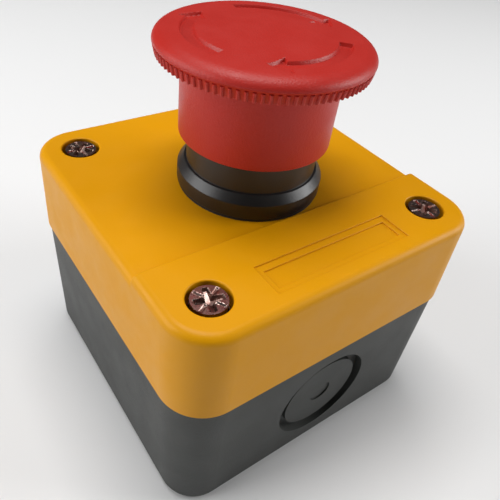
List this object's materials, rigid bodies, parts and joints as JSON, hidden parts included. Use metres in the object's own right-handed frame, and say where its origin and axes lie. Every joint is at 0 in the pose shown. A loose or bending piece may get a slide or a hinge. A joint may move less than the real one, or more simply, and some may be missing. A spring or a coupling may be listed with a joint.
{
  "type": "emergency stop button station",
  "caption": "Square two-part plastic wall box with a mushroom push head that latches when pressed, turns to release, and works a closing and an opening contact block.",
  "frame": {"origin": "centre of the flat back face of the base, which stands on the wall or panel", "axes": "+Z along the operator's axis, out of the wall towards the mushroom head; -Y is the side with the label field, +X to the right of it"},
  "size_m": [0.068, 0.068, 0.0806],
  "materials": {
    "grey_plastic": "fine matt grain",
    "yellow_plastic": "satin moulded",
    "red_plastic": "fine matt grain",
    "black_plastic": "satin moulded",
    "rubber": "matt",
    "plated_steel": "bright zinc plated",
    "spring_steel": "drawn wire",
    "brass": "stamped",
    "nc_plastic": "moulded",
    "no_plastic": "moulded",
    "white_plastic": "moulded"
  },
  "bodies": {
    "enclosure": {"base_box": "grey_plastic", "cover": "yellow_plastic", "cover_seal": "rubber", "cover_screws": "plated_steel", "screw_seals": "rubber", "bezel": "black_plastic", "bezel_gasket": "rubber", "stem_seal": "rubber", "lock_washer": "plated_steel", "ring_nut": "black_plastic", "latch_spring": "spring_steel", "nc_housing": "nc_plastic", "nc_side_cover": "nc_plastic", "nc_terminals": "brass", "nc_clamps": "plated_steel", "nc_terminal_screws": "plated_steel", "no_housing": "no_plastic", "no_side_cover": "no_plastic", "no_terminals": "brass", "no_clamps": "plated_steel", "no_terminal_screws": "plated_steel", "return_spring": "spring_steel", "nc_spring": "spring_steel", "no_spring": "spring_steel"},
    "slider": {"pusher": "white_plastic", "snap_ring": "spring_steel"},
    "head": {"mushroom_cap": "red_plastic", "stem": "plated_steel", "cap_pin": "plated_steel"},
    "nc_contact": {"nc_plunger": "white_plastic", "nc_bridge": "brass"},
    "no_contact": {"no_plunger": "white_plastic", "no_bridge": "brass"}
  },
  "joints": [
    {"name": "head_press", "type": "slide", "parent": "enclosure", "child": "slider", "axis": [0, 0, -1], "range_m": [0, 0.005], "stiffness_N_per_m": 3000, "springref_m": -0.003, "deforming": ["return_spring"]},
    {"name": "head_turn", "type": "hinge", "parent": "slider", "child": "head", "pos_m": [0, 0, 0.061], "axis": [0, 0, -1], "range_deg": [0, 45], "stiffness_Nm_per_rad": 0.2, "springref_deg": -11.46},
    {"name": "nc_press", "type": "slide", "parent": "enclosure", "child": "nc_contact", "axis": [0, 0, -1], "range_m": [0, 0.005], "stiffness_N_per_m": 600, "springref_m": -0.003, "deforming": ["nc_spring"]},
    {"name": "no_press", "type": "slide", "parent": "enclosure", "child": "no_contact", "axis": [0, 0, -1], "range_m": [0, 0.005], "stiffness_N_per_m": 600, "springref_m": -0.003, "deforming": ["no_spring"]}
  ],
  "couplings": [
    {"joint": "nc_press", "follows": "head_press", "ratio": 1},
    {"joint": "no_press", "follows": "head_press", "ratio": 1}
  ]
}
